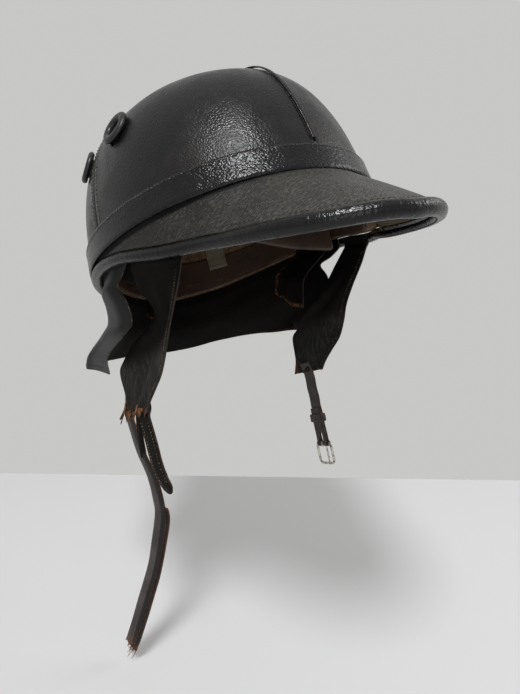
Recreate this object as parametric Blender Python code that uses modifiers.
"""Pudding basin motorcycle helmet: cork crown in leather, peak, ear flaps and straps.

Run it in Blender's text editor, or with: blender --background --python part.py

Frame: metres, +Z up as the helmet is worn tipped back, -Y the wearer's front, +X the
wearer's left. The origin is the centre of the head opening, level with the lower edge of
the crown band. The shell, peak and inner fittings are modelled square to the band and hang
under one empty, which tips them back by LEAN. The leather that hangs is modelled upright.

Angles round the shell are called turns: 0 is the front, positive runs to the wearer's left,
and 180 degrees is the nape. A point's "proud" is how far it stands out from the leather face.
Tables named SHARES give a form as shares of the size named beside them.
"""
import math

import bmesh
import bpy
import numpy as np
from mathutils import Matrix, Vector

# Crown
CROWN_HALF_LENGTH = 0.132
CROWN_HALF_WIDTH = 0.110
CROWN_RISE = 0.1094
CROWN_SETBACK = 0.0051
CROWN_SIDE_POWER = 5.17
CROWN_TOP_POWER = 0.526
LEAN = math.radians(28)

# Layers of the shell, from the leather face inwards
FIT_GAP = 0.00035
COVER_LEATHER = 0.0015
CORK_WALL = 0.008
SWEATBAND_LEATHER = 0.0018
SWEATBAND_HEIGHT = 0.028
SEAM_GAP = 0.0003

# Band round the crown
BAND_HEIGHT = 0.0186
BAND_LEATHER = 0.0016
BAND_PROUD = 0.0006

# Raised welt over the front seam
WELT_WIDTH = 0.0036
WELT_HEIGHT = 0.0010

# Rim: a thick bound edge round the whole opening and out round the peak
RIM_DROP = 0.0565
RIM_RADIUS = 0.0043
RIM_RADIUS_AT_PEAK = 0.0052
RIM_INSET = 0.0013
RIM_DROP_SHARES = ((0, 1.0), (15, 0.912), (30, 0.726), (45, 0.55), (60, 0.434), (68, 0.345),
                   (76, 0.25), (90, 0.142), (110, 0.0885), (130, 0.106), (150, 0.177),
                   (180, 0.257))

# Peak
PEAK_REACH = 0.0646
PEAK_HALF_ANGLE = math.radians(51)
PEAK_POWER = 2.8
PEAK_SET = math.radians(-3)
PEAK_LEATHER = 0.0012
PEAK_LINING = 0.0010
PEAK_CREST = 0.0004
FOREHEAD_DROP = 0.010
FOREHEAD_DIP = 0.020
FOREHEAD_TURN = math.radians(40)

# Vent eyelets
VENT_TURNS_DEG = (69, 97)
VENT_RING = 0.867
VENT_BORE = 0.0061
VENT_BARREL = 0.0013
VENT_COLLAR_WIDTH = 0.0064
VENT_COLLAR_HEIGHT = 0.0048
VENT_LIP_WIDTH = 0.0026
VENT_LIP = 0.0013
VENT_SEAT_GAP = 0.0004
VENT_INNER_SEAT = 0.0018

# Webbing cradle inside the crown
CRADLE_TONGUES = 6
TONGUE_WIDTH = 0.022
TONGUE_END_WIDTH = 0.012
TONGUE_WEB = 0.0013
TONGUE_LAP = 0.014
LACE_RADIUS = 0.0016
LACE_RING_RADIUS = 0.026
LACE_HEIGHT = 0.078

# Ear flaps: edges as shares of FLAP_DROP from the ends of the hinge line
FLAP_LEATHER = 0.0018
FLAP_DROP = 0.150
FLAP_DENT = 0.006
FLAP_STEPS = (15, 21)
FLAP_AXIS_BELOW_RIM = 0.0038
FLAP_TOP_EDGE = 0.0004
ROOT_END = 0.0015
FLAP_FRONT_SHARES = ((0, 0, 0), (-0.003, 0.030, -0.093), (-0.007, 0.083, -0.217),
                     (-0.013, 0.130, -0.340), (-0.023, 0.153, -0.447), (-0.033, 0.193, -0.563),
                     (-0.040, 0.263, -0.667), (-0.047, 0.323, -0.760), (-0.047, 0.350, -0.833))
FLAP_REAR_SHARES = ((0, 0, 0), (0.043, 0.027, -0.107), (0.103, 0.040, -0.213),
                    (0.103, 0.147, -0.333), (0.077, 0.267, -0.447), (0.050, 0.333, -0.560),
                    (0.050, 0.373, -0.633), (0.050, 0.340, -0.733), (0.050, 0.340, -0.800),
                    (0.050, 0.367, -0.920))

# Soft gusset that closes the gap behind each ear flap
GUSSET_LEATHER = 0.0012
GUSSET_DROP = 0.060
GUSSET_TUCK = 0.028
GUSSET_STEPS = (22, 29)
GUSSET_LAP = 0.006

# Neck curtain
CURTAIN_LEATHER = 0.0016
CURTAIN_DROP = 0.105
CURTAIN_FLARE = 0.020
CURTAIN_TUCK = 0.005
CURTAIN_STEP = 22
CURTAIN_FADE = math.radians(50)
CURTAIN_DROP_SHARES = ((79, 1.0), (95, 0.90), (115, 0.76), (135, 0.65), (180, 0.54))
CURTAIN_FLARE_SHARES = ((79, 0.10), (100, 0.5), (125, 1.0), (150, 0.9), (180, 0.6))
CURTAIN_EDGE_SHARES = ((0, 0), (0.11, 0.11), (0.21, 0.23), (0.27, 0.13), (0.345, 0.075),
                       (0.41, 0.055), (0.47, 0.06), (0.55, 0.165), (0.655, 0.29), (0.77, 0.43),
                       (0.90, 0.52), (1.0, 0.45))

# Torn chin strap and the stitched tab beside it, on the wearer's right
STRAP_LEATHER = 0.0030
STRAP_WIDTH = 0.014
STRAP_LENGTH = 0.240
STRAP_HINGE = (0.61, 0.91)
STRAP_FACING = math.radians(20)
STRAP_SHARES = ((0, 0, 0), (0.0075, 0.001, -0.038), (0.024, -0.015, -0.126),
                (0.053, -0.036, -0.230), (0.066, -0.049, -0.326), (0.070, -0.049, -0.397),
                (0.054, -0.044, -0.510), (0.033, -0.036, -0.626), (-0.007, -0.015, -0.780),
                (-0.048, 0.001, -0.926), (-0.065, 0.018, -1.0))
TAB_LEATHER = 0.0022
TAB_WIDTH = 0.022
TAB_LENGTH = 0.066
TAB_HINGE = (0.0, 0.38)
TAB_SHARES = ((0, 0, 0), (0.024, -0.106, -0.265), (0.055, -0.180, -0.556),
              (0.085, -0.297, -0.744), (0.115, -0.479, -0.809))

# Buckle strap on the wearer's left
FOLD_LEATHER = 0.0015
FOLD_WIDTH = 0.016
FOLD_LENGTH = 0.070
FOLD_TAIL = 0.036
FOLD_HINGE = (0.30, 0.60)
BUCKLE_WIRE = 0.0012
BUCKLE_WIDTH = 0.0250
BUCKLE_LENGTH = 0.020
BUCKLE_CORNER = 0.004
PRONG_WIRE = 0.0009
PRONG_SLOT_WIDTH = 0.0044
PRONG_SLOT_LENGTH = 0.012
KEEPER_WIDTH = 0.008
KEEPER_LEATHER = 0.0013
KEEPER_PLACE = 0.030
KEEPER_CORNER = 0.0005

# How finely round forms are cut
TURNS = 100
COARSE = 2
CROWN_ROWS = 8
SEAM_STEP = 24
COVER_STEP = 26
CORE_STEPS = (-10, 9)
LINING_STEPS = (-11, 10)

COLOURS = {
    "crown_leather": ((0.020, 0.020, 0.022), 0.42, 0.0),
    "band_leather": ((0.024, 0.023, 0.024), 0.34, 0.0),
    "peak_leather": ((0.035, 0.032, 0.031), 0.48, 0.0),
    "rim_leather": ((0.030, 0.030, 0.032), 0.36, 0.0),
    "flap_leather": ((0.075, 0.070, 0.066), 0.78, 0.0),
    "strap_leather": ((0.085, 0.070, 0.062), 0.60, 0.0),
    "lining_cloth": ((0.24, 0.20, 0.14), 0.90, 0.0),
    "cork": ((0.36, 0.24, 0.13), 0.90, 0.0),
    "sweatband_leather": ((0.14, 0.075, 0.040), 0.60, 0.0),
    "webbing": ((0.42, 0.37, 0.27), 0.90, 0.0),
    "vent_rubber": ((0.016, 0.016, 0.017), 0.38, 0.0),
    "buckle_metal": ((0.55, 0.53, 0.48), 0.35, 1.0),
}

CORK_PROUD = -(COVER_LEATHER + FIT_GAP)
CORK_INNER_PROUD = CORK_PROUD - CORK_WALL
SWEATBAND_PROUD = CORK_INNER_PROUD - FIT_GAP - SWEATBAND_LEATHER / 2
TONGUE_PROUD = SWEATBAND_PROUD - SWEATBAND_LEATHER / 2 - FIT_GAP - TONGUE_WEB / 2
MERGE = FIT_GAP / 100


def clear_scene():
    """Remove whatever the file opened with."""
    for old in list(bpy.data.objects):
        bpy.data.objects.remove(old, do_unlink=True)


def make_collection(name):
    """A new collection under the scene's own."""
    made = bpy.data.collections.new(name)
    bpy.context.scene.collection.children.link(made)
    return made


def material(name):
    """The Principled material of one finish, made on first use."""
    found = bpy.data.materials.get(name)
    if found:
        return found
    colour, roughness, metallic = COLOURS[name]
    made = bpy.data.materials.new(name)
    made.use_nodes = True
    shader = made.node_tree.nodes["Principled BSDF"]
    shader.inputs["Base Color"].default_value = (*colour, 1.0)
    shader.inputs["Roughness"].default_value = roughness
    shader.inputs["Metallic"].default_value = metallic
    made.diffuse_color = (*colour, 1.0)
    return made


def add_object(name, mesh, finish, parent=None, origin=None, smooth=True):
    """Link a mesh as a named piece; its origin goes to the point given."""
    piece = bpy.data.objects.new(name, mesh)
    PIECES.objects.link(piece)
    mesh.materials.clear()
    mesh.materials.append(material(finish))
    if origin is not None:
        mesh.transform(Matrix.Translation(-Vector(origin)))
        piece.location = origin
    if parent is not None:
        piece.parent = parent
    if smooth:
        mesh.shade_smooth()
        mesh.set_sharp_from_angle(angle=math.radians(50))
    return piece


def grid_mesh(name, cells_u, cells_v, place):
    """A grid primitive whose corner at (i, j) is moved to place(i, j); doubles are merged."""
    bm = bmesh.new()
    bmesh.ops.create_grid(bm, x_segments=cells_u, y_segments=cells_v, size=0.5)
    for vert in bm.verts:
        i = round((vert.co.x + 0.5) * cells_u)
        j = round((vert.co.y + 0.5) * cells_v)
        vert.co = place(i, j)
    bmesh.ops.remove_doubles(bm, verts=bm.verts, dist=MERGE)
    mesh = bpy.data.meshes.new(name)
    bm.to_mesh(mesh)
    bm.free()
    return mesh


def add_sheet(name, cells_u, cells_v, place, thickness, finish, parent=None, origin=None):
    """A sheet of leather or web: the middle surface place(i, j), thickened both ways."""
    mesh = grid_mesh(name, cells_u, cells_v, place)
    piece = add_object(name, mesh, finish, parent, origin)
    wall_modifier = piece.modifiers.new("Thickness", "SOLIDIFY")
    wall_modifier.thickness = thickness
    wall_modifier.offset = 0.0
    wall_modifier.use_even_offset = True
    return piece


def add_loft(name, sections, finish, parent=None):
    """A solid through equal rings of points, capped at both ends."""
    bm = bmesh.new()
    rings = [[bm.verts.new(point) for point in section] for section in sections]
    count = len(rings[0])
    for here, there in zip(rings, rings[1:]):
        for k in range(count):
            k_next = (k + 1) % count
            bm.faces.new((here[k], here[k_next], there[k_next], there[k]))
    bm.faces.new(rings[0][::-1])
    bm.faces.new(rings[-1])
    bmesh.ops.recalc_face_normals(bm, faces=bm.faces)
    mesh = bpy.data.meshes.new(name)
    bm.to_mesh(mesh)
    bm.free()
    return add_object(name, mesh, finish, parent)


def add_wire(name, points, radius, finish, parent=None, cyclic=False, radii=None, sides=1,
             origin=None):
    """A round cord or wire through points; radii are shares of the radius."""
    base = Vector(origin) if origin is not None else Vector()
    curve = bpy.data.curves.new(name, "CURVE")
    curve.dimensions = "3D"
    curve.bevel_depth = radius
    curve.bevel_resolution = sides
    curve.use_fill_caps = True
    spline = curve.splines.new("POLY")
    spline.points.add(len(points) - 1)
    for index, point in enumerate(points):
        spline.points[index].co = (*(Vector(point) - base), 1.0)
        spline.points[index].radius = radii[index] if radii else 1.0
    spline.use_cyclic_u = cyclic
    piece = bpy.data.objects.new(name, curve)
    piece.location = base
    PIECES.objects.link(piece)
    curve.materials.append(material(finish))
    if parent is not None:
        piece.parent = parent
    if not cyclic:
        caps = piece.modifiers.new("Caps", "WELD")
        caps.merge_threshold = MERGE
    return piece


def cut(piece, cutter):
    """Cut the piece by a hidden solid."""
    boolean = piece.modifiers.new("Cut", "BOOLEAN")
    boolean.operation = "DIFFERENCE"
    boolean.object = cutter


def add_cutter(name, bm, parent=None):
    """Keep a closed form as a hidden cutter."""
    mesh = bpy.data.meshes.new(name)
    bm.to_mesh(mesh)
    bm.free()
    cutter = bpy.data.objects.new(name, mesh)
    CUTTERS.objects.link(cutter)
    cutter.hide_render = True
    cutter.display_type = "WIRE"
    cutter.parent = parent
    return cutter


def along(table, value):
    """Read a table of (place, share) rows with smooth slopes between them."""
    places = np.array([row[0] for row in table], float)
    shares = np.array([row[1] for row in table], float)
    slopes = np.gradient(shares, places)
    value = min(max(value, places[0]), places[-1])
    k = min(int(np.searchsorted(places, value, side="right")) - 1, len(places) - 2)
    step = places[k + 1] - places[k]
    x = (value - places[k]) / step
    here = (2 * x**3 - 3 * x**2 + 1) * shares[k] + (x**3 - 2 * x**2 + x) * step * slopes[k]
    there = (3 * x**2 - 2 * x**3) * shares[k + 1] + (x**3 - x**2) * step * slopes[k + 1]
    return float(here + there)


def along_rows(rows, share):
    """Read a table of points at a share of its whole run."""
    last = len(rows) - 1
    return Vector([along([(k / last, row[axis]) for k, row in enumerate(rows)], share)
                   for axis in range(3)])


def ease(value):
    """A smooth step from 0 to 1."""
    value = min(max(value, 0.0), 1.0)
    return value * value * (3 - 2 * value)


def turn_at(step):
    """The turn of one of the even steps round the shell, from minus to plus 180 degrees."""
    step = (step + TURNS // 2) % TURNS - TURNS // 2
    return 2 * math.pi * step / TURNS


# The shell, square to the band


def outward(turn):
    """Unit direction out of the wall, level with the band."""
    face = Vector((math.sin(turn) / CROWN_HALF_WIDTH, -math.cos(turn) / CROWN_HALF_LENGTH, 0))
    return face.normalized()


def wall(turn, height, proud):
    """A point of the upright wall below the crown."""
    x = CROWN_HALF_WIDTH * math.sin(turn)
    y = -CROWN_HALF_LENGTH * math.cos(turn)
    return Vector((x, y, height)) + outward(turn) * proud


def crown(turn, ring, proud):
    """A point of the crown: ring is 1 level with the band's lower edge and 0 at the top."""
    if ring >= 1:
        return wall(turn, 0, proud)
    if ring < MERGE:
        return Vector((0, CROWN_SETBACK, CROWN_RISE + proud))
    rise = (1 - ring**CROWN_SIDE_POWER) ** CROWN_TOP_POWER
    slope = (CROWN_TOP_POWER * CROWN_SIDE_POWER * rise / (1 - ring**CROWN_SIDE_POWER)
             * ring ** (CROWN_SIDE_POWER - 1))
    foot = wall(turn, 0, 0)
    level_way = Vector((CROWN_HALF_WIDTH * math.cos(turn), CROWN_HALF_LENGTH * math.sin(turn), 0))
    up_way = Vector((0, CROWN_SETBACK, CROWN_RISE)) * slope - foot
    point = foot * ring + Vector((0, CROWN_SETBACK, CROWN_RISE)) * rise
    return point + level_way.cross(up_way).normalized() * proud


def ring_at(height):
    """The ring that lies at a height over the band's lower edge."""
    return (1 - (height / CROWN_RISE) ** (1 / CROWN_TOP_POWER)) ** (1 / CROWN_SIDE_POWER)


def crown_rings(count):
    """Rings from the band's top edge to the top, evenly spaced along the leather."""
    fine = ring_at(BAND_HEIGHT) * np.linspace(1, 0, 400)
    points = [crown(0, ring, 0) for ring in fine]
    lengths = [0.0]
    for here, there in zip(points, points[1:]):
        lengths.append(lengths[-1] + (there - here).length)
    wanted = np.linspace(0, lengths[-1], count + 1)
    return [float(ring) for ring in np.interp(wanted, lengths, fine)]


def peak_bump(turn):
    """How much of the peak's reach the rim has at a turn: 1 in front, 0 past the temples."""
    return max(0.0, 1 - ((turn - PEAK_SET) / PEAK_HALF_ANGLE) ** 2) ** PEAK_POWER


def rim_radius(turn):
    """Half the rim's thickness."""
    return RIM_RADIUS + (RIM_RADIUS_AT_PEAK - RIM_RADIUS) * peak_bump(turn)


def rim_height(turn):
    """Height of the rim's middle."""
    away = abs(math.degrees(turn - PEAK_SET * peak_bump(turn)))
    return -RIM_DROP * along(RIM_DROP_SHARES, min(away, 180))


def rim_proud(turn):
    """How far the rim's middle stands out from the wall."""
    return PEAK_REACH * peak_bump(turn) - RIM_INSET


def rim_middle(turn):
    """A point of the rim's middle line."""
    return wall(turn, rim_height(turn), rim_proud(turn))


def wall_foot(turn):
    """Height of the cork's lower edge: just over the rim, or over the forehead at the peak."""
    on_rim = rim_height(turn) + rim_radius(turn) + FIT_GAP
    forehead = -FOREHEAD_DROP - FOREHEAD_DIP * (turn / FOREHEAD_TURN) ** 2
    return max(on_rim, forehead)


def seat_proud(turn, thickness):
    """Proud of a leather sheet that hangs just inside the rim."""
    return rim_proud(turn) - rim_radius(turn) - FIT_GAP - thickness / 2


def worn(point):
    """A point square to the band, in the part's own frame."""
    return Matrix.Rotation(-LEAN, 3, "X") @ Vector(point)


def add_cork_shell(parent):
    """The pressed cork bowl, with a hole for each vent."""
    rings = crown_rings(CROWN_ROWS)
    middle = CORK_PROUD - CORK_WALL / 2

    def place(i, j):
        turn = turn_at(COARSE * i)
        if j == 0:
            return wall(turn, wall_foot(turn), middle)
        if j == 1:
            return wall(turn, wall_foot(turn) / 2, middle)
        if j == 2:
            return wall(turn, 0, middle)
        return crown(turn, rings[j - 3], middle)

    shell = add_sheet("cork_shell", TURNS // COARSE, len(rings) + 2, place, CORK_WALL, "cork",
                      parent)
    for cutter in VENT_HOLES.values():
        cut(shell, cutter)


def add_crown_panel(name, first, last, holes, parent):
    """A panel of the crown's leather between two seams, from under the band to the top."""
    rings = crown_rings(CROWN_ROWS)
    cells = (last - first) // COARSE
    proud = -COVER_LEATHER / 2
    middle = math.pi * (first + last) / TURNS
    pull = (Vector((math.sin(middle), -math.cos(middle), 0)) * SEAM_GAP / 2
            / math.sin(math.pi * (last - first) / TURNS))

    def place(i, j):
        turn = 2 * math.pi * (first + COARSE * i) / TURNS
        ring = ring_at(BAND_HEIGHT / 4) if j == 0 else rings[j - 1]
        return crown(turn, ring, proud) + pull

    panel = add_sheet(name, cells, len(rings), place, COVER_LEATHER, "crown_leather", parent)
    for hole in holes:
        cut(panel, VENT_HOLES[hole])


def add_band(parent):
    """The leather band round the foot of the crown."""
    middle = BAND_PROUD + BAND_LEATHER / 2
    heights = (0, BAND_HEIGHT / 2, BAND_HEIGHT)

    def place(i, j):
        return crown(turn_at(COARSE * i), ring_at(heights[j]), middle)

    add_sheet("crown_band", TURNS // COARSE, 2, place, BAND_LEATHER, "band_leather", parent)


def add_seam_welt(parent):
    """The raised strip over the front seam, from the band to the top."""
    rings = crown_rings(2 * CROWN_ROWS)
    proud = FIT_GAP + SEAM_GAP + WELT_HEIGHT / 2
    lift = BAND_PROUD + BAND_LEATHER

    def place(i, j):
        point = crown(0, rings[j], proud)
        if j == 0:
            point.z += lift
        point.x = (i - 1) * WELT_WIDTH / 2
        return point

    add_sheet("crown_seam_welt", 2, len(rings) - 1, place, WELT_HEIGHT, "crown_leather", parent)


def add_rim(parent):
    """The thick bound edge, one closed ring."""
    turns = [turn_at(step) for step in range(TURNS)]
    points = [rim_middle(turn) for turn in turns]
    radii = [rim_radius(turn) / RIM_RADIUS for turn in turns]
    add_wire("rim_binding", points, RIM_RADIUS, "rim_leather", parent, True, radii, sides=3)


def rim_meeting(turn, start, tilt, clearance):
    """Where a layer that starts at (proud, height) ends, just short of the rim.

    tilt turns the meeting up round the rim from the straight line, in degrees.
    """
    centre = Vector((rim_proud(turn), rim_height(turn)))
    away = Matrix.Rotation(-math.radians(tilt), 2) @ (Vector(start) - centre).normalized()
    step = turn_at(1) / 2
    run = (rim_middle(turn + step) - rim_middle(turn - step)).normalized()
    slant = away.x * run.dot(outward(turn)) + away.y * run.z
    return centre + away * (rim_radius(turn) + clearance) / math.sqrt(1 - slant**2)


def add_peak_cover(parent):
    """The peak's top leather, which narrows to a strip under the band at each side."""
    rows = 5
    root = -PEAK_LEATHER / 2
    top = -FIT_GAP
    clearance = FIT_GAP + PEAK_LEATHER / 2

    def place(i, j):
        turn = turn_at(i - COVER_STEP)
        out = ease(5 * peak_bump(turn))
        edge = rim_meeting(turn, (root, top), 32 * out, clearance)
        share = j / rows
        lift = PEAK_CREST * out * math.sin(math.pi * share)
        return wall(turn, top + (edge.y - top) * share + lift, root + (edge.x - root) * share)

    add_sheet("peak_cover", 2 * COVER_STEP, rows, place, PEAK_LEATHER, "peak_leather", parent)


def add_nape_facing(parent):
    """Leather on the wall between the band and the rim, from ear to ear behind."""
    proud = -PEAK_LEATHER / 2
    first = COVER_STEP + COARSE // 2

    def place(i, j):
        turn = turn_at(first + COARSE * i)
        foot = rim_height(turn) + rim_radius(turn) + FIT_GAP
        return wall(turn, -FIT_GAP + (foot + FIT_GAP) * j, proud)

    add_sheet("nape_facing", (TURNS - 2 * first) // COARSE, 1, place, PEAK_LEATHER,
              "peak_leather", parent)


def add_peak_core(parent):
    """The peak's stiff board: thick at the forehead, thin at the rim."""
    root = CORK_PROUD + FIT_GAP
    sections = []
    for step in range(CORE_STEPS[0], CORE_STEPS[1] + 1):
        turn = turn_at(step)
        top = -PEAK_LEATHER - 2 * FIT_GAP
        foot = wall_foot(turn) + FIT_GAP
        upper = rim_meeting(turn, (0, top), 8, FIT_GAP)
        lower = rim_meeting(turn, (0, top), -8, FIT_GAP)
        sections.append([wall(turn, top, root), wall(turn, upper.y, upper.x),
                         wall(turn, lower.y, lower.x), wall(turn, foot, root)])
    add_loft("peak_core", sections, "cork", parent)


def add_peak_lining(parent):
    """The tan cloth under the peak, which turns in under the cork wall."""
    first, last = LINING_STEPS
    rows = 4
    half = PEAK_LINING / 2

    def place(i, j):
        turn = turn_at(first + i)
        foot = wall_foot(turn) - FIT_GAP - half
        root = CORK_PROUD + FIT_GAP
        if j == 0:
            return wall(turn, foot, CORK_INNER_PROUD)
        edge = rim_meeting(turn, (root, foot), -28, FIT_GAP + half)
        share = (j - 1) / (rows - 1)
        return wall(turn, foot + (edge.y - foot) * share, root + (edge.x - root) * share)

    add_sheet("peak_lining", last - first, rows, place, PEAK_LINING, "lining_cloth", parent)


def vent_place(side, turn_deg):
    """Place and aim of one vent: its own +Z points straight out of the crown."""
    turn = math.radians(turn_deg) * side
    small = 1 - VENT_RING
    middle = crown(turn, VENT_RING, 0)
    level_way = crown(turn + small / 4, VENT_RING, 0) - crown(turn - small / 4, VENT_RING, 0)
    up_way = crown(turn, VENT_RING - small / 4, 0) - crown(turn, VENT_RING + small / 4, 0)
    out = level_way.cross(up_way).normalized()
    level_way.normalize()
    turned = Matrix((level_way, out.cross(level_way), out)).transposed().to_4x4()
    return Matrix.Translation(middle) @ turned


def add_vent_hole(name, place, parent):
    """The hole that an eyelet's barrel needs."""
    bm = bmesh.new()
    radius = VENT_BORE + VENT_BARREL + FIT_GAP
    depth = 4 * (CORK_WALL + COVER_LEATHER)
    bmesh.ops.create_cone(bm, cap_ends=True, segments=20, radius1=radius, radius2=radius,
                          depth=depth, matrix=place)
    return add_cutter(name, bm, parent)


def add_eyelet(name, place, parent):
    """A rubber eyelet: a fat collar outside, a barrel through the wall and a lip inside."""
    barrel = VENT_BORE + VENT_BARREL
    half_width = VENT_COLLAR_WIDTH / 2
    half_height = VENT_COLLAR_HEIGHT / 2
    lip_top = CORK_INNER_PROUD - VENT_INNER_SEAT
    lip_foot = lip_top - VENT_LIP
    profile = []
    for k in range(7):
        angle = math.pi * (1 - k / 6)
        profile.append((VENT_BORE + half_width + half_width * math.cos(angle),
                        VENT_SEAT_GAP + half_height + half_height * math.sin(angle)))
    profile += [(VENT_BORE + 1.7 * half_width, VENT_SEAT_GAP), (barrel, VENT_SEAT_GAP),
                (barrel, lip_top), (barrel + VENT_LIP_WIDTH, lip_top),
                (barrel + VENT_LIP_WIDTH, lip_foot), (VENT_BORE, lip_foot)]
    bm = bmesh.new()
    verts = [bm.verts.new((r, 0, h)) for r, h in profile]
    for a, b in zip(verts, verts[1:] + verts[:1]):
        bm.edges.new((a, b))
    mesh = bpy.data.meshes.new(name)
    bm.to_mesh(mesh)
    bm.free()
    eyelet = add_object(name, mesh, "vent_rubber", parent, smooth=False)
    eyelet.matrix_local = place
    screw = eyelet.modifiers.new("Turned", "SCREW")
    screw.steps = 20
    screw.render_steps = 20
    screw.use_merge_vertices = True
    screw.merge_threshold = MERGE
    screw.use_smooth_shade = True
    screw.use_normal_calculate = True


def add_sweatband(parent):
    """The leather headband inside the cork."""
    rings = [ring_at(SWEATBAND_HEIGHT * share) for share in (0, 0.5, 1)]

    def place(i, j):
        turn = turn_at(COARSE * i)
        if j == 0:
            return wall(turn, wall_foot(turn) + FIT_GAP, SWEATBAND_PROUD)
        return crown(turn, rings[j - 1], SWEATBAND_PROUD)

    add_sheet("sweatband", TURNS // COARSE, 3, place, SWEATBAND_LEATHER, "sweatband_leather",
              parent)


def tongue_frame(turn):
    """Where a tongue leaves the sweatband's top edge, and the ways in and across."""
    foot = crown(turn, ring_at(SWEATBAND_HEIGHT), TONGUE_PROUD)
    inward = Vector((-foot.x, -foot.y, 0)).normalized()
    return foot, inward, Vector((inward.y, -inward.x, 0))


def add_tongue(name, turn, parent):
    """One webbing tongue: sewn to the sweatband, arched inwards, folded round the lace."""
    foot, inward, across = tongue_frame(turn)
    loop = LACE_RADIUS + FIT_GAP + TONGUE_WEB / 2
    reach = math.hypot(foot.x, foot.y)
    span = reach - LACE_RING_RADIUS
    climb = LACE_HEIGHT + loop - foot.z
    points = [(0, 0)]
    for k in range(1, 6):
        angle = math.pi / 2 * k / 6
        points.append((span * (1 - math.cos(angle)) ** 0.85, climb * math.sin(angle)))
    for k in range(8):
        angle = math.radians(90 - 38 * k)
        points.append((span + loop * math.cos(angle),
                       climb - loop + loop * math.sin(angle)))
    count = len(points)

    def place(i, j):
        width = TONGUE_WIDTH + (TONGUE_END_WIDTH - TONGUE_WIDTH) * ease(i / (count - 8))
        aside = width * (j - 1) / 2
        near = turn + aside / reach
        if i == 0:
            return crown(near, ring_at(SWEATBAND_HEIGHT - TONGUE_LAP), TONGUE_PROUD)
        curved = crown(near, ring_at(SWEATBAND_HEIGHT), TONGUE_PROUD)
        level = curved.lerp(foot + across * aside, ease((i - 1) / 5))
        run, rise = points[i - 1]
        return level + inward * run + Vector((0, 0, rise))

    add_sheet(name, count, 2, place, TONGUE_WEB, "webbing", parent)


def add_lace(parent):
    """The cord that draws the tongues together, straight through each fold."""
    points = []
    for k in range(CRADLE_TONGUES):
        foot, inward, across = tongue_frame(2 * math.pi * (k + 0.5) / CRADLE_TONGUES)
        middle = -inward * LACE_RING_RADIUS + Vector((0, 0, LACE_HEIGHT))
        reach = TONGUE_END_WIDTH / 2 + LACE_RADIUS
        points += [middle - across * reach, middle + across * reach]
    add_wire("cradle_lace", points, LACE_RADIUS, "webbing", parent, True)


# The leather that hangs, upright in the part's own frame


def on_side(point, side):
    """A point given for the wearer's right, on the side wanted."""
    return Vector((-point.x * side, point.y, point.z))


def flap_axis():
    """The two ends of the right flap's hinge line, front then rear."""
    ends = []
    for step in FLAP_STEPS:
        turn = -turn_at(step)
        point = worn(wall(turn, rim_height(turn), seat_proud(turn, FLAP_LEATHER)))
        point.z -= rim_radius(turn) + FLAP_AXIS_BELOW_RIM
        ends.append(point)
    return ends


def flap_edges(share):
    """Front and rear edge of the right flap at a share of its rows."""
    front, rear = flap_axis()
    return (front + along_rows(FLAP_FRONT_SHARES, share) * FLAP_DROP,
            rear + along_rows(FLAP_REAR_SHARES, share) * FLAP_DROP)


def edge_hinge(hinge, thickness, side):
    """A hinge line just under a flap's lower edge, for a strap of the given thickness.

    Returns its two ends, the way down from the edge, and how far the strap's top edge
    stands over the line. The drop leaves room for the strap's corners to turn.
    """
    fore, aft = flap_edges(1.0)
    edge = (aft - fore).normalized()
    down = (Vector((0, 0, -1)) + edge * edge.z).normalized()
    rise = 0.55 * thickness
    drop = math.hypot(rise, thickness / 2) + FIT_GAP
    ends = [on_side(fore.lerp(aft, share) + down * drop, side) for share in hinge]
    return ends[0], ends[1], on_side(down, side), rise


def add_ear_flap(name, side):
    """An ear flap: one sheet from the hinge line to the torn lower edge."""
    cells = 6
    rows = 18
    front, rear = flap_axis()
    top = Vector((0, 0, FLAP_TOP_EDGE))

    def place(i, j):
        share = j / rows
        across = i / cells
        fore, aft = flap_edges(share)
        point = fore.lerp(aft, across)
        if j == 0:
            return on_side(point + top, side)
        point.x += FLAP_DENT * math.sin(math.pi * across) * math.sin(math.pi * share) ** 2
        return on_side(point, side)

    add_sheet(name, cells, rows, place, FLAP_LEATHER, "flap_leather",
              origin=on_side((front + rear) / 2, side))


def add_flap_root(name, side):
    """The strip that is sewn inside the rim and carries a flap."""
    front, rear = flap_axis()
    first, last = FLAP_STEPS

    def place(i, j):
        turn = -turn_at(first + i)
        proud = seat_proud(turn, FLAP_LEATHER)
        if j == 0:
            return on_side(worn(wall(turn, wall_foot(turn) - 2 * FIT_GAP, proud)), side)
        if j == 1:
            return on_side(worn(wall(turn, rim_height(turn) - rim_radius(turn), proud)), side)
        end = front.lerp(rear, i / (last - first))
        return on_side(end + Vector((0, 0, ROOT_END)), side)

    add_sheet(name, last - first, 2, place, FLAP_LEATHER, "flap_leather")


def add_gusset(name, side):
    """Soft leather behind a flap, folded inwards from the sweatband's foot."""
    first, last = GUSSET_STEPS
    rows = 6
    proud = SWEATBAND_PROUD - SWEATBAND_LEATHER / 2 - FIT_GAP - GUSSET_LEATHER / 2

    def place(i, j):
        turn = -turn_at(first + i)
        foot = wall_foot(turn)
        if j == 0:
            return on_side(worn(wall(turn, foot + GUSSET_LAP, proud)), side)
        share = (j - 1) / (rows - 1)
        across = i / (last - first)
        tuck = GUSSET_TUCK * ease(min(1.6 * share, 1))
        point = worn(wall(turn, foot, proud)) - worn(outward(turn)) * tuck
        point.z -= GUSSET_DROP * (1 - across * across / 3) * share
        return on_side(point, side)

    add_sheet(name, last - first, rows, place, GUSSET_LEATHER, "flap_leather")


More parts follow.
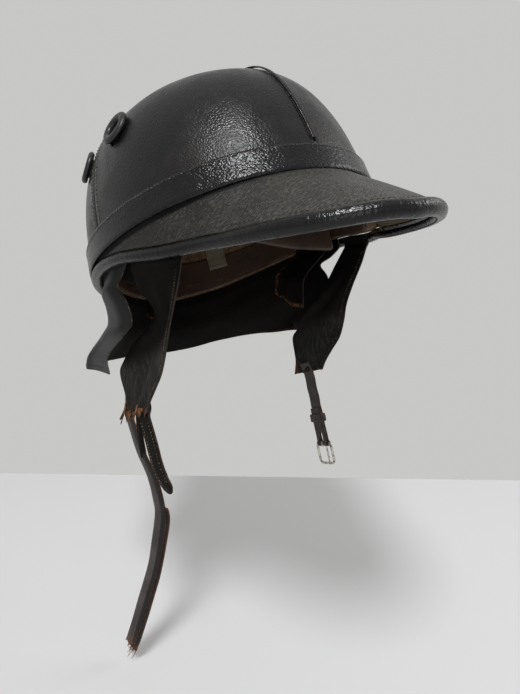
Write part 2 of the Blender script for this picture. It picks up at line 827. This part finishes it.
def curtain_point(turn, share):
    """A point of the neck curtain, by turn and by share of its drop."""
    away = abs(math.degrees(turn))
    proud = seat_proud(turn, CURTAIN_LEATHER)
    below_rim = rim_height(turn) - rim_radius(turn)
    top = worn(wall(turn, wall_foot(turn) - 2 * FIT_GAP, proud))
    knee = worn(wall(turn, below_rim, proud))
    if share == 0:
        return top
    drop = CURTAIN_DROP * along(CURTAIN_DROP_SHARES, away)
    flare = CURTAIN_FLARE * along(CURTAIN_FLARE_SHARES, away)
    level = outward(turn)
    point = knee + level * (flare * share**2 - CURTAIN_TUCK * math.sin(math.pi * share) ** 2)
    point.z -= (drop - (top.z - knee.z)) * share
    fade = 1 - ease((math.radians(away) - turn_at(CURTAIN_STEP)) / CURTAIN_FADE)
    point.y += CURTAIN_DROP * along(CURTAIN_EDGE_SHARES, share) * fade
    return point


def add_curtain():
    """The neck curtain: one skirt of leather from ear to ear, flared at its foot."""
    rows = 14
    cells = (TURNS - 2 * CURTAIN_STEP) // COARSE

    def place(i, j):
        share = max(0.02, (j - 1) / (rows - 1)) if j else 0
        return curtain_point(turn_at(CURTAIN_STEP + COARSE * i), share)

    add_sheet("neck_curtain", cells, rows, place, CURTAIN_LEATHER, "flap_leather")


def smooth_path(start, rows, length, count):
    """Even points on a smooth line: rows are shares of the length from the start."""
    return [start + along_rows(rows, k / count) * length for k in range(count + 1)]


def add_ribbon(name, points, widths, ways, thickness, finish, origin):
    """A strap along a middle line; ways are the directions across it."""
    count = len(points) - 1

    def place(i, j):
        ahead = (points[min(i + 1, count)] - points[max(i - 1, 0)]).normalized()
        way = ways[i] - ahead * ways[i].dot(ahead) if 0 < i else ways[i]
        return points[i] + way.normalized() * widths[i] * (j - 1)

    return add_sheet(name, count, 2, place, thickness, finish, origin=origin)


def add_torn_strap():
    """The long chin strap on the wearer's right, which hangs in a slow curve."""
    start, end, down, rise = edge_hinge(STRAP_HINGE, STRAP_LEATHER, -1)
    middle = (start + end) / 2
    cells = 24
    points = smooth_path(middle, STRAP_SHARES, STRAP_LENGTH, cells)
    points[0] = middle - down * rise
    half = STRAP_WIDTH / 2
    widths = [half * (1 - 0.25 * ease((k - cells + 3) / 3)) for k in range(cells + 1)]
    first = (end - start).normalized()
    last = Vector((-math.sin(STRAP_FACING), math.cos(STRAP_FACING), 0))
    ways = [first.lerp(last, ease(2.5 * k / cells)) for k in range(cells + 1)]
    add_ribbon("right_chin_strap", points, widths, ways, STRAP_LEATHER, "strap_leather", middle)


def add_strap_tab():
    """The pointed, stitched end piece that hangs beside the torn strap."""
    start, end, down, rise = edge_hinge(TAB_HINGE, TAB_LEATHER, -1)
    middle = (start + end) / 2
    cells = 12
    points = smooth_path(middle, TAB_SHARES, TAB_LENGTH, cells)
    points[0] = middle - down * rise
    tip = 4
    half = TAB_WIDTH / 2
    widths = [half * math.sqrt(max(1 - (max(k - cells + tip, 0) / tip) ** 2, 0.04))
              for k in range(cells + 1)]
    ways = [(end - start).normalized()] * (cells + 1)
    add_ribbon("right_strap_tab", points, widths, ways, TAB_LEATHER, "strap_leather", middle)


# The buckle strap on the wearer's left, in its own frame of across, down and out

BAR_RADIUS = BUCKLE_WIRE + FIT_GAP + FOLD_LEATHER / 2


def fold_point(across_by, down_by, out_by):
    """A point of the buckle strap's own frame, in the part's frame."""
    start, end, down, rise = edge_hinge(FOLD_HINGE, FOLD_LEATHER, 1)
    across = (start - end).normalized()
    return (start + end) / 2 + across * across_by + down * down_by + across.cross(down) * out_by


def add_buckle_strap():
    """The short strap on the wearer's left, folded round the buckle's bar."""
    gap = FIT_GAP + FOLD_LEATHER
    rise = edge_hinge(FOLD_HINGE, FOLD_LEATHER, 1)[3]
    path = [(-rise, 0)] + [(FOLD_LENGTH * share, 0) for share in (0.2, 0.4, 0.6, 0.75)]
    reach = math.sqrt(BAR_RADIUS**2 - (gap / 2) ** 2)
    for k in range(9):
        angle = math.radians(150 - 37.5 * k)
        path.append((FOLD_LENGTH + BAR_RADIUS * math.cos(angle),
                     bar_centre() + BAR_RADIUS * math.sin(angle)))
    path += [(FOLD_LENGTH - 3 * reach, -gap), (FOLD_LENGTH - FOLD_TAIL, -gap)]
    half = FOLD_WIDTH / 2

    def place(i, j):
        return fold_point(half * (j - 1), *path[i])

    strap = add_sheet("left_chin_strap", len(path) - 1, 2, place, FOLD_LEATHER, "strap_leather",
                      origin=fold_point(0, 0, 0))
    bm = bmesh.new()
    bmesh.ops.create_cube(bm, size=1.0)
    for vert in bm.verts:
        deep = 4 * (BAR_RADIUS + FOLD_LEATHER)
        down_by = FOLD_LENGTH - PRONG_SLOT_LENGTH if vert.co.y < 0 else FOLD_LENGTH + deep
        vert.co = fold_point(vert.co.x * PRONG_SLOT_WIDTH, down_by, vert.co.z * deep)
    cut(strap, add_cutter("Prong_slot", bm))


def bar_centre():
    """Out-by of the buckle's bar, midway between the strap's two layers."""
    return -(FIT_GAP + FOLD_LEATHER) / 2


def add_buckle_frame():
    """The wire frame of the buckle: one rounded oblong, whose top bar is in the fold."""
    half = BUCKLE_WIDTH / 2 - BUCKLE_WIRE
    centres = ((half - BUCKLE_CORNER, BUCKLE_LENGTH - BUCKLE_CORNER, 0),
               (-half + BUCKLE_CORNER, BUCKLE_LENGTH - BUCKLE_CORNER, 90),
               (-half + BUCKLE_CORNER, BUCKLE_CORNER, 180), (half - BUCKLE_CORNER, BUCKLE_CORNER, 270))
    points = []
    for x, y, first in centres:
        for k in range(4):
            angle = math.radians(first + 30 * k)
            points.append(fold_point(x + BUCKLE_CORNER * math.cos(angle),
                                     FOLD_LENGTH + y + BUCKLE_CORNER * math.sin(angle),
                                     bar_centre()))
    add_wire("buckle_frame", points, BUCKLE_WIRE, "buckle_metal", cyclic=True, sides=2,
             origin=fold_point(0, FOLD_LENGTH, bar_centre()))


def add_buckle_prong():
    """The prong: a wire looped round the bar, whose tip rests on the frame's far bar."""
    loop = BUCKLE_WIRE + FIT_GAP + PRONG_WIRE
    points = []
    for k in range(10):
        angle = math.radians(60 + 30 * k)
        points.append(fold_point(0, FOLD_LENGTH + loop * math.sin(angle),
                                 bar_centre() + loop * math.cos(angle)))
    points.reverse()
    over = BUCKLE_WIRE + FIT_GAP + PRONG_WIRE
    for share, out_by in ((0.5, over), (1.0, over)):
        points.append(fold_point(0, FOLD_LENGTH + BUCKLE_LENGTH * share, bar_centre() + out_by))
    points.append(fold_point(0, FOLD_LENGTH + BUCKLE_LENGTH + 2 * BUCKLE_WIRE,
                             bar_centre() + over))
    radii = [1.0] * (len(points) - 1) + [0.6]
    add_wire("buckle_prong", points, PRONG_WIRE, "buckle_metal", radii=radii, sides=2,
             origin=fold_point(0, FOLD_LENGTH, bar_centre()))


def add_keeper():
    """The leather loop sewn round the two layers of the strap."""
    half = FOLD_WIDTH / 2 + FIT_GAP + KEEPER_LEATHER / 2
    top = FOLD_LEATHER / 2 + FIT_GAP + KEEPER_LEATHER / 2
    low = -(FIT_GAP + FOLD_LEATHER) - top
    corner = KEEPER_CORNER
    ring = ((half, low + corner), (half, top - corner), (half - corner, top),
            (-half + corner, top), (-half, top - corner), (-half, low + corner),
            (-half + corner, low), (half - corner, low))
    place_at = FOLD_LENGTH - KEEPER_PLACE

    def place(i, j):
        across_by, out_by = ring[i % len(ring)]
        return fold_point(across_by, place_at + KEEPER_WIDTH * j, out_by)

    add_sheet("strap_keeper", len(ring), 1, place, KEEPER_LEATHER, "strap_leather")


def report_sizes():
    """Print the hinge lines: a point of each and its direction."""
    print("crown length and width:", 2 * CROWN_HALF_LENGTH, 2 * CROWN_HALF_WIDTH)
    bar = [fold_point(x, FOLD_LENGTH, bar_centre()) for x in (0, 1)]
    lines = {"right flap": flap_axis(), "right strap": edge_hinge(STRAP_HINGE, STRAP_LEATHER, -1),
             "right tab": edge_hinge(TAB_HINGE, TAB_LEATHER, -1),
             "left strap": edge_hinge(FOLD_HINGE, FOLD_LEATHER, 1), "buckle bar": bar}
    for name, ends in lines.items():
        way = (ends[1] - ends[0]).normalized()
        middle = (ends[0] + ends[1]) / 2 if name != "buckle bar" else ends[0]
        print(name, [round(v, 6) for v in middle], [round(v, 6) for v in way])


clear_scene()
PIECES = make_collection("Pudding_basin_helmet")
CUTTERS = make_collection("Cutters")
LEANING = bpy.data.objects.new("Lean", None)
PIECES.objects.link(LEANING)
LEANING.rotation_euler.x = -LEAN

VENT_HOLES = {}
for side_name, side in (("right", -1), ("left", 1)):
    for place_name, turn_deg in zip(("front", "rear"), VENT_TURNS_DEG):
        vent_name = f"{side_name}_{place_name}"
        aim = vent_place(side, turn_deg)
        add_eyelet(f"vent_eyelet_{vent_name}", aim, LEANING)
        VENT_HOLES[vent_name] = add_vent_hole(f"Vent_hole_{vent_name}", aim, LEANING)

add_cork_shell(LEANING)
add_crown_panel("crown_leather_right", -SEAM_STEP, 0, ("right_front",), LEANING)
add_crown_panel("crown_leather_left", 0, SEAM_STEP, ("left_front",), LEANING)
add_crown_panel("crown_leather_back", SEAM_STEP, TURNS - SEAM_STEP, ("right_rear", "left_rear"),
                LEANING)
add_band(LEANING)
add_seam_welt(LEANING)
add_rim(LEANING)
add_peak_cover(LEANING)
add_nape_facing(LEANING)
add_peak_core(LEANING)
add_peak_lining(LEANING)
add_sweatband(LEANING)
for tongue in range(CRADLE_TONGUES):
    add_tongue(f"cradle_tongue_{tongue + 1}", 2 * math.pi * (tongue + 0.5) / CRADLE_TONGUES, LEANING)
add_lace(LEANING)
for side_name, side in (("right", -1), ("left", 1)):
    add_ear_flap(f"{side_name}_ear_flap", side)
    add_flap_root(f"{side_name}_flap_root", side)
    add_gusset(f"{side_name}_ear_gusset", side)
add_curtain()
add_torn_strap()
add_strap_tab()
add_buckle_strap()
add_buckle_frame()
add_buckle_prong()
add_keeper()
report_sizes()
